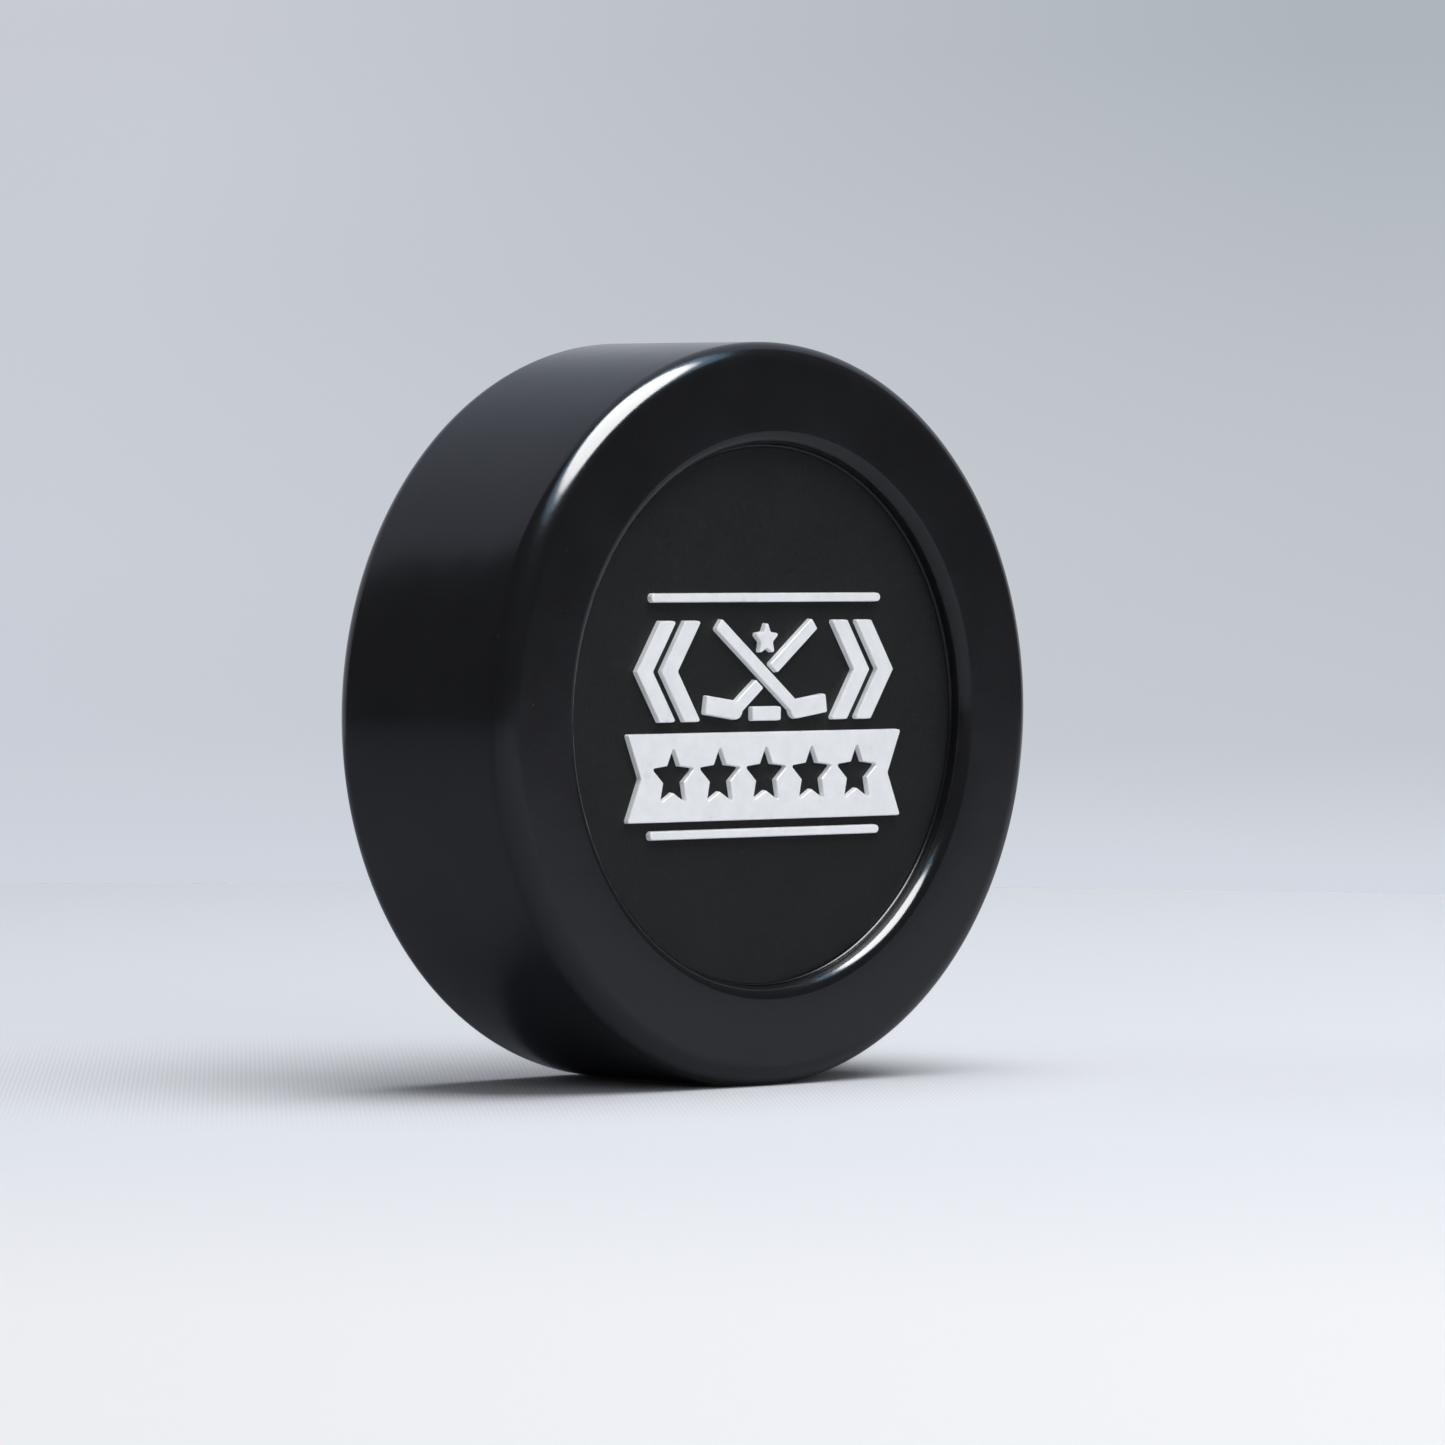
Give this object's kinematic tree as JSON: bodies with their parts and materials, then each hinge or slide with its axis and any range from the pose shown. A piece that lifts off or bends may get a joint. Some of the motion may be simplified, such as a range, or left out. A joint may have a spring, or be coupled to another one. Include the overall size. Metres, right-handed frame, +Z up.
{
  "type": "ice hockey puck",
  "caption": "Black rubber ice hockey puck stood on its rim, with rounded edges, a recessed matte panel on each face and a raised white emblem of crossed sticks.",
  "frame": {"origin": "the point where the rim rests on the ground, under the middle of the puck", "axes": "+Z up, +Y along the puck's own axis from the decorated face (towards -Y) to the plain face, +X to the right as the decorated face is read"},
  "size_m": [0.0762, 0.0254, 0.076],
  "materials": {
    "body": "smooth satin black moulded rubber",
    "panel": "matte black with a fine moulded grain",
    "artwork": "white, satin, slightly uneven moulded enamel"
  },
  "bodies": {
    "root": {"puck_body": "body", "front_panel": "panel", "back_panel": "panel", "upper_rule": "artwork", "lower_rule": "artwork", "left_outer_chevron": "artwork", "left_inner_chevron": "artwork", "right_outer_chevron": "artwork", "right_inner_chevron": "artwork", "front_stick": "artwork", "rear_stick_blade": "artwork", "rear_stick_shaft": "artwork", "small_puck": "artwork", "crest_star": "artwork", "star_ribbon": "artwork"}
  },
  "joints": []
}
